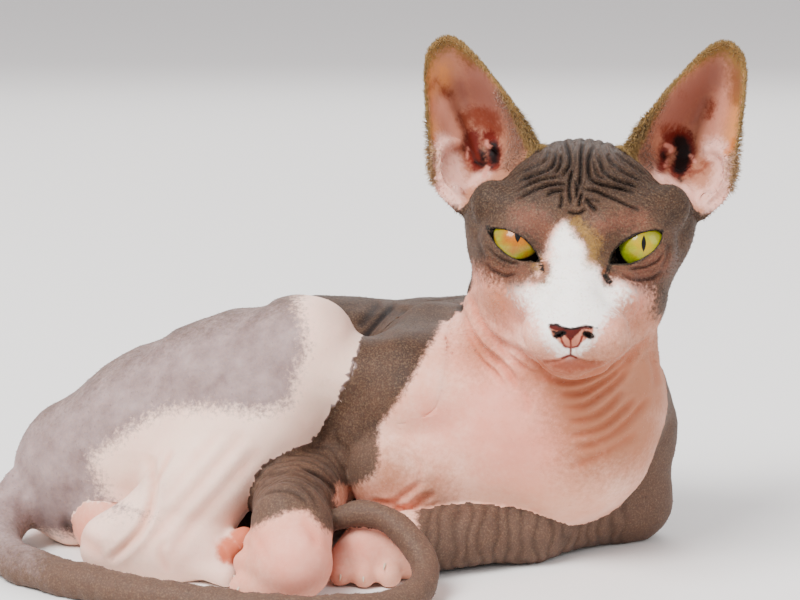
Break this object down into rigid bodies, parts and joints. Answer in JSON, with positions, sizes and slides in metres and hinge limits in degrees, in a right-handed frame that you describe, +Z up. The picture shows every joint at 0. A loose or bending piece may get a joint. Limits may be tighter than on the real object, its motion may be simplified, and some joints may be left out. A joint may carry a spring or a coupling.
{
  "type": "sphynx cat",
  "caption": "Life-size still model of a hairless cat lying curled on its chest and one hip, head raised and facing forwards, tail round its feet.",
  "frame": {"origin": "floor level, below the centre of the cat's box", "axes": "+X to the viewer's right, the way the cat's chest lies from its rump; +Y away from the viewer the cat faces; +Z up"},
  "size_m": [0.287, 0.2096, 0.1934],
  "materials": {
    "skin": "bare matt skin with very short down, grey-brown over the back and pink below",
    "ear_skin": "thin pink skin, faintly downy",
    "nose_leather": "moist dark skin",
    "eye": "wet, glossy"
  },
  "bodies": {
    "root": {"belly": "skin", "chest": "skin", "ear_left": "ear_skin", "ear_right": "ear_skin", "eye_left": "eye", "eye_right": "eye", "forearm_left": "skin", "forearm_right": "skin", "forepaw_left": "skin", "forepaw_right": "skin", "head": "skin", "hind_foot_left": "skin", "hind_foot_right": "skin", "neck": "skin", "nose": "nose_leather", "rump": "skin", "shank_left": "skin", "shank_right": "skin", "tail_1": "skin", "tail_2": "skin", "tail_3": "skin", "tail_4": "skin", "tail_5": "skin", "thigh_left": "skin", "thigh_right": "skin", "upper_arm_left": "skin", "upper_arm_right": "skin"}
  },
  "joints": []
}
